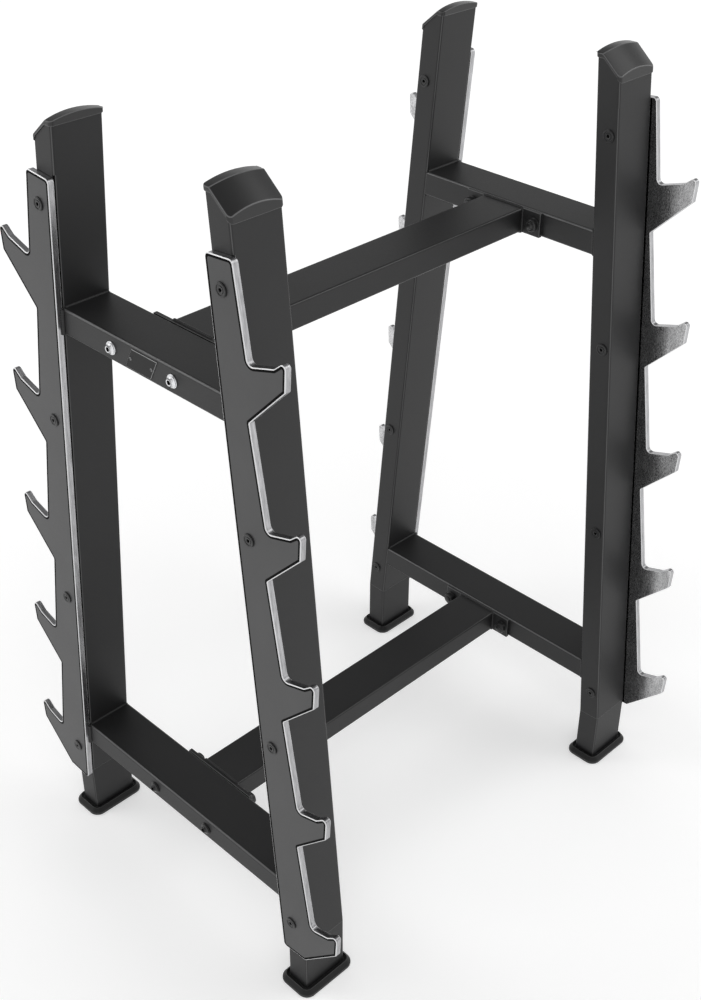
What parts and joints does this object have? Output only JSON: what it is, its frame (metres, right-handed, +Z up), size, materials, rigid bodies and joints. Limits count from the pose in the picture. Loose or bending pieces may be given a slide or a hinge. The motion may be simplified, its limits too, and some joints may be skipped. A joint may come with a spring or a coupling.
{
  "type": "barbell storage rack",
  "caption": "Free-standing A-frame rack that stores barbells in hooks on both of its sloping sides.",
  "frame": {"origin": "on the floor, under the middle of the rack", "axes": "+X along the barbells to the right-hand end as seen from the front, +Y to the rear, +Z up"},
  "size_m": [1.036, 0.912, 1.594],
  "materials": {
    "frame_paint": "satin black powder coat on steel tube",
    "plate_paint": "dark grey textured coat on laser-cut steel plate, cut edges bright",
    "zinc_plate": "bright zinc plating",
    "dark_steel": "black oxide on steel",
    "black_plastic": "moulded black plastic, lightly glossy",
    "rubber": "moulded black rubber",
    "badge_paint": "bare dark plate with nothing on it"
  },
  "bodies": {
    "root": {"left_front_upright": "frame_paint", "left_rear_upright": "frame_paint", "right_front_upright": "frame_paint", "right_rear_upright": "frame_paint", "left_front_foot_tube": "frame_paint", "left_rear_foot_tube": "frame_paint", "right_front_foot_tube": "frame_paint", "right_rear_foot_tube": "frame_paint", "left_front_rubber_foot": "rubber", "left_rear_rubber_foot": "rubber", "right_front_rubber_foot": "rubber", "right_rear_rubber_foot": "rubber", "left_front_top_cap": "black_plastic", "left_rear_top_cap": "black_plastic", "right_front_top_cap": "black_plastic", "right_rear_top_cap": "black_plastic", "left_front_saddle_plate": "plate_paint", "left_rear_saddle_plate": "plate_paint", "right_front_saddle_plate": "plate_paint", "right_rear_saddle_plate": "plate_paint", "left_front_saddle_screws": "dark_steel", "left_rear_saddle_screws": "dark_steel", "right_front_saddle_screws": "dark_steel", "right_rear_saddle_screws": "dark_steel", "left_front_sleeve_nuts": "dark_steel", "left_rear_sleeve_nuts": "dark_steel", "right_front_sleeve_nuts": "dark_steel", "right_rear_sleeve_nuts": "dark_steel", "upper_left_cross_member": "frame_paint", "lower_left_cross_member": "frame_paint", "upper_right_cross_member": "frame_paint", "lower_right_cross_member": "frame_paint", "upper_beam": "frame_paint", "lower_beam": "frame_paint", "upper_left_flange": "frame_paint", "lower_left_flange": "frame_paint", "upper_right_flange": "frame_paint", "lower_right_flange": "frame_paint", "upper_left_bolts": "zinc_plate", "lower_left_bolts": "dark_steel", "upper_right_bolts": "zinc_plate", "lower_right_bolts": "dark_steel", "upper_left_washers": "zinc_plate", "lower_left_washers": "dark_steel", "upper_right_washers": "zinc_plate", "lower_right_washers": "dark_steel", "upper_left_nuts": "zinc_plate", "lower_left_nuts": "zinc_plate", "upper_right_nuts": "zinc_plate", "lower_right_nuts": "zinc_plate", "upper_left_nut_caps": "black_plastic", "lower_left_nut_caps": "black_plastic", "upper_right_nut_caps": "black_plastic", "lower_right_nut_caps": "black_plastic", "badge_plate": "badge_paint", "badge_screws": "dark_steel"}
  },
  "joints": []
}
